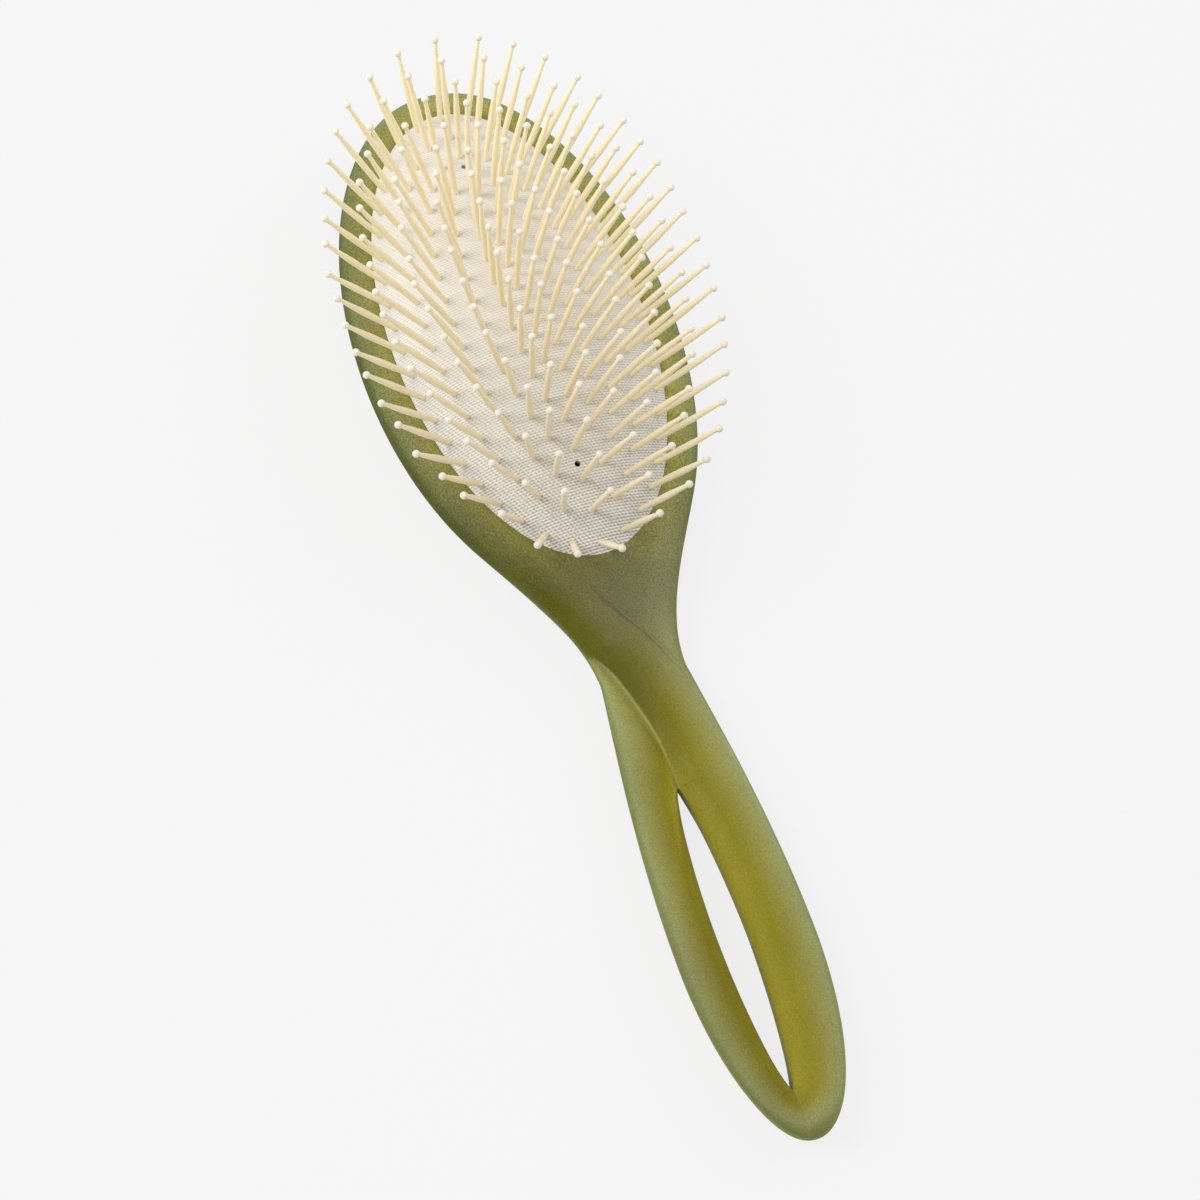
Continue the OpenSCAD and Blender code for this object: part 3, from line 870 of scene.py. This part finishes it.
# How strong each tone is, and how wide, in millimetres
OVER_W, WEB_EDGE_W, LEFT_W, LEFT_TAIL_W, FAR_AWAY = 0.5, 0.6, 0.5, 8, 99.0
STRAND_PALE, INWARDS_W = 0.49, 6.5
WEB_SHADE_TONE, WEB_AT, WEB_BACK_W, WEB_FRONT_W, WEB_INSET = 0.44, 62.3, 17.3, 15.9, 3
FLANK_TONE, FLANK_W, FLANK_NARROW_W, FLANK_INSET, FLANK_BEND = 1.3, 4.33, 3.6, 1, 1.86
# The strengths of the painted shade on the left strand, its tail, the head's left side and the right strand
LEFT_SHADE_TONE, LEFT_TAIL_SHADE_TONE, HEAD_SIDE_SHADE_TONE, RIGHT_SHADE_TONE = 0.12, 0.13, 0.325, 0.034
# The painted highlights along the upper strand's two edges and the painted shade in the crease beside it:
# the strength, the distance inside the edge, the width, and the stretches of the crossing over which each
# comes and goes
WEB_HIGHLIGHT, WEB_LINE_AT, WEB_LINE_W, WEB_LINE_STRETCHES = 0.4, 0.35, 0.3, ((0, 0.25), (0.9, 1.8))
UNDER_HIGHLIGHT, UNDER_LINE_AT, UNDER_LINE_W = 0.5, 0.1, 0.17
UNDER_LINE_RISE, UNDER_LINE_FADE, UNDER_LINE_LOSS = (0.24, 0.4), (0.6, 1), 0.7
CREASE_SHADE, GROOVE_AT, GROOVE_W, GROOVE_RISE, GROOVE_FADE = 0.3, -0.4, 0.4, (-0.06, 0.1), (0.3, 0.6)


def behind(x, start, length):
    """Rises from 0 to 1 over a length towards the handle's end."""
    return ease((-start - x) / length)


def ahead(x, start, length):
    """Rises from 0 to 1 over a length towards the head."""
    return ease((x + start) / length)


def slope(f, x, *more):
    """How much a line along the body moves sideways over a millimetre."""
    return f(x + 0.5, *more) - f(x - 0.5, *more)


def strand_share(x, y, w, edge_y):
    """Share of the way across a strand, from the outline to the slot or to the upper strand's edge."""
    outer, inner = (w + y, edge_y - y) if y < edge_y else (w - y, y - edge_y)
    across = max(0.0, outer) / (max(0.0, outer) + max(0.0, inner - slot_half(x)) + 1e-6)
    if y > edge_y:
        across *= 1 - STRAND_PALE * ahead(x, *PALE_RISE)
    return across * ahead(x, *TAIL_RISE)


def crossing_lines(x, y, from_edge):
    """The painted highlights at the upper strand's edges, and the painted shade in the crease beside it."""
    from_web = (web_edge_y(x) - y) / math.hypot(1, slope(web_edge_y, x))
    # Painted shade in the crease beside the upper strand's edge
    crease_shade = ease(along(x, GROOVE_RISE)) * (1 - along(x, GROOVE_FADE)) * hump(from_web, GROOVE_AT, GROOVE_W)
    # Painted highlights along the upper strand's edges
    edge_highlight = WEB_HIGHLIGHT * between(x, *WEB_LINE_STRETCHES) * hump(from_web, WEB_LINE_AT, WEB_LINE_W)
    if x < -NECK_FROM:
        fading = 1 - UNDER_LINE_LOSS * ease(along(x, UNDER_LINE_FADE))
        under_highlight = ease(along(x, UNDER_LINE_RISE)) * fading
        edge_highlight += UNDER_HIGHLIGHT * under_highlight * hump(from_edge, UNDER_LINE_AT, UNDER_LINE_W)
    return clamp01(edge_highlight), crease_shade


def tones(x, y, slot_y):
    """The share of each of the plastic's colours at one place, painted shade and highlights among them."""
    w, edge_y = half_width(x), under_edge_y(x, slot_y)
    on_over = ease(0.5 + (edge_y - y) / OVER_W)
    on_web = ease(0.5 + (web_edge_y(x) - y) / WEB_EDGE_W) if x > -SLOT_FROM else 0.0
    if x > -NECK_FROM:
        inwards = max(0.0, -oval_distance(x, y, HEAD_A, HEAD_B))
        from_edge = inwards if y > 0 else FAR_AWAY
    else:
        inwards = (w - abs(y)) / math.hypot(1, slope(half_width, x))
        from_edge = (edge_y - y) / math.hypot(1, slope(under_edge_y, x, slot_y))
    head = ahead(x, *HEAD_RISE)
    edge_highlight, crease_shade = crossing_lines(x, y, from_edge)
    # Painted shade: a darker, greyer patch on the neck's web, under the upper strand
    web_w = WEB_BACK_W if x < -WEB_AT else WEB_FRONT_W
    web = WEB_SHADE_TONE * hump(x, -WEB_AT, web_w) * (1 - math.exp(-max(0.0, w + y) / WEB_INSET)) * on_over
    # Painted shade along the upper strand's left flank, fading inwards from its edge
    flank_w = mix(FLANK_W, FLANK_NARROW_W, behind(x, *FLANK_NARROWS))
    flank = (FLANK_TONE * behind(x, *FLANK_RISE) * (1 - behind(x, *FLANK_FADE))
             * math.exp(-(max(0.0, from_edge - FLANK_INSET) / flank_w) ** FLANK_BEND))
    left = ease(0.5 + (y - edge_y) / mix(LEFT_W, LEFT_TAIL_W, behind(x, *LEFT_WIDENS)))
    # Painted shade: the left strand darker towards the handle's end, the head darker towards its left side,
    # the right strand a little darker at the handle's end, and the crease beside the upper strand darker
    light = (1 - LEFT_SHADE_TONE * left * (1 - head) * behind(x, *LEFT_RISE)
             - LEFT_TAIL_SHADE_TONE * left * behind(x, *LEFT_TAIL_RISE))
    light *= 1 - HEAD_SIDE_SHADE_TONE * head * (0.5 + 0.5 * y / HEAD_B)
    light *= 1 - RIGHT_SHADE_TONE * (1 - left) * behind(x, *RIGHT_RISE)
    light *= 1 - CREASE_SHADE * crease_shade
    return {"across": strand_share(x, y, w, edge_y), "inwards": inwards / INWARDS_W, "head": head,
            "web": web, "over_flank_shade": clamp01(flank) * (1 - on_web) * on_over, "shade": 1 - light,
            "edge_highlight": edge_highlight}


def mark_tones(o, face):
    """Keeps the tones at every vertex. The crossing on the back is the front's one, mirrored."""
    places = [(max(-REACH, min(HEAD_A, v.co.x / MM)), face * v.co.y / MM) for v in o.data.vertices]
    values = [tones(x, y, face * SLOT_SHIFT) for x, y in places]
    for name in values[0]:
        data = o.data.attributes.new(name, "FLOAT", "POINT").data
        for point, value in zip(data, values):
            point.value = value[name]


def dress(o, m):
    o.data.materials.clear()
    o.data.materials.append(m)


# Assemble
olive, cotton, cream, rubber = frosted_olive(), woven_cotton(), cream_pin(), soft_rubber()

front = build_front_frame()
mark_tones(front, 1)
dress(front, olive)
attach(front, "body")
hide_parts("front_frame")

back = build_back_shell()
mark_tones(back, -1)
dress(back, olive)
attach(back, "body")
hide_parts("back_shell")

cushion = build_cushion()
dress(cushion, rubber)
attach(cushion, "body")
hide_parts("rubber_cushion")
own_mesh(cushion)

fabric = build_fabric()
dress(fabric, cotton)
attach(fabric, "body")
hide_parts("fabric_cover")
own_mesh(fabric)

pin = build_pin()
for name, feet in PIN_FEET.items():
    pins = stand_pins(pin, name, feet)
    dress(pins, cream)
    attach(pins, "middle_row" if name == "middle_row_pins" else name[:6])
    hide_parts(name)
bpy.data.objects.remove(pin, do_unlink=True)

dress(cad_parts["clamp_ring"], olive)

# Studio
FLOOR_SIZE, FLOOR_Z, FLOOR_COLOUR = 6, -0.0002, (0.86, 0.86, 0.86, 1)
GLOW_COLOUR, GLOW_SHARE, SKY_STRENGTH = (0.905, 0.905, 0.905, 1), 0.9, 0.56
LIGHTS_AIM = Vector((-0.05, 0, 0))


def pale_floor():
    """A floor that glows where it is seen, so that it is as pale and even as in the photo."""
    m, tree, shader, _ = start_material("pale_floor", Base_Color=FLOOR_COLOUR, Roughness=0.9,
                                        Specular_IOR_Level=0.1)
    glow = node(tree, "ShaderNodeEmission")
    glow.inputs["Color"].default_value = GLOW_COLOUR
    paths = node(tree, "ShaderNodeLightPath").outputs
    seen = maths(tree, "MAXIMUM", paths["Is Camera Ray"], paths["Is Glossy Ray"])
    seen = maths(tree, "MAXIMUM", seen, paths["Is Transmission Ray"])
    even = node(tree, "ShaderNodeMixShader")
    tree.links.new(maths(tree, "MULTIPLY", seen, GLOW_SHARE), even.inputs[0])
    tree.links.new(shader.outputs[0], even.inputs[1])
    tree.links.new(glow.outputs[0], even.inputs[2])
    out = next(n for n in tree.nodes if n.type == "OUTPUT_MATERIAL")
    tree.links.new(even.outputs[0], out.inputs["Surface"])
    return m


bpy.ops.mesh.primitive_plane_add(size=FLOOR_SIZE, location=(0, 0, FLOOR_Z))
floor = named("studio_floor")
dress(floor, pale_floor())

world = bpy.data.worlds.new("studio")
bpy.context.scene.world = world
world.use_nodes = True
sky = world.node_tree.nodes["Background"]
sky.inputs["Color"].default_value = (1, 1, 1, 1)
sky.inputs["Strength"].default_value = SKY_STRENGTH


def softbox(name, at, size, power):
    deselect()
    bpy.ops.object.light_add(type="AREA", location=at)
    o = bpy.context.active_object
    o.name = name
    o.data.shape = "RECTANGLE"
    o.data.size, o.data.size_y = size
    o.data.energy = power
    o.rotation_euler = (LIGHTS_AIM - Vector(at)).to_track_quat("-Z", "Y").to_euler()


softbox("key_softbox", (0.25, 0.8, 1.0), (0.7, 0.7), 11.0)
softbox("fill_softbox", (0.1, -0.9, 0.8), (0.7, 0.7), 4.0)

# The camera's place, turn and lens, fitted to the pins' tips and the outline in the photo
CAMERA_AT, CAMERA_TURN, LENS = (-0.305838, 0.136360, 0.557865), (26.5935, -4.7582, -108.9909), 98.174
bpy.ops.object.camera_add(location=CAMERA_AT, rotation=[math.radians(a) for a in CAMERA_TURN])
camera = bpy.context.active_object
camera.name = "photo_camera"
camera.data.lens = LENS
camera.data.sensor_width = 36
camera.data.sensor_fit = "AUTO"
camera.data.clip_start = 0.01
camera.data.clip_end = 20
bpy.context.scene.camera = camera
bpy.context.scene.view_settings.view_transform = "Standard"
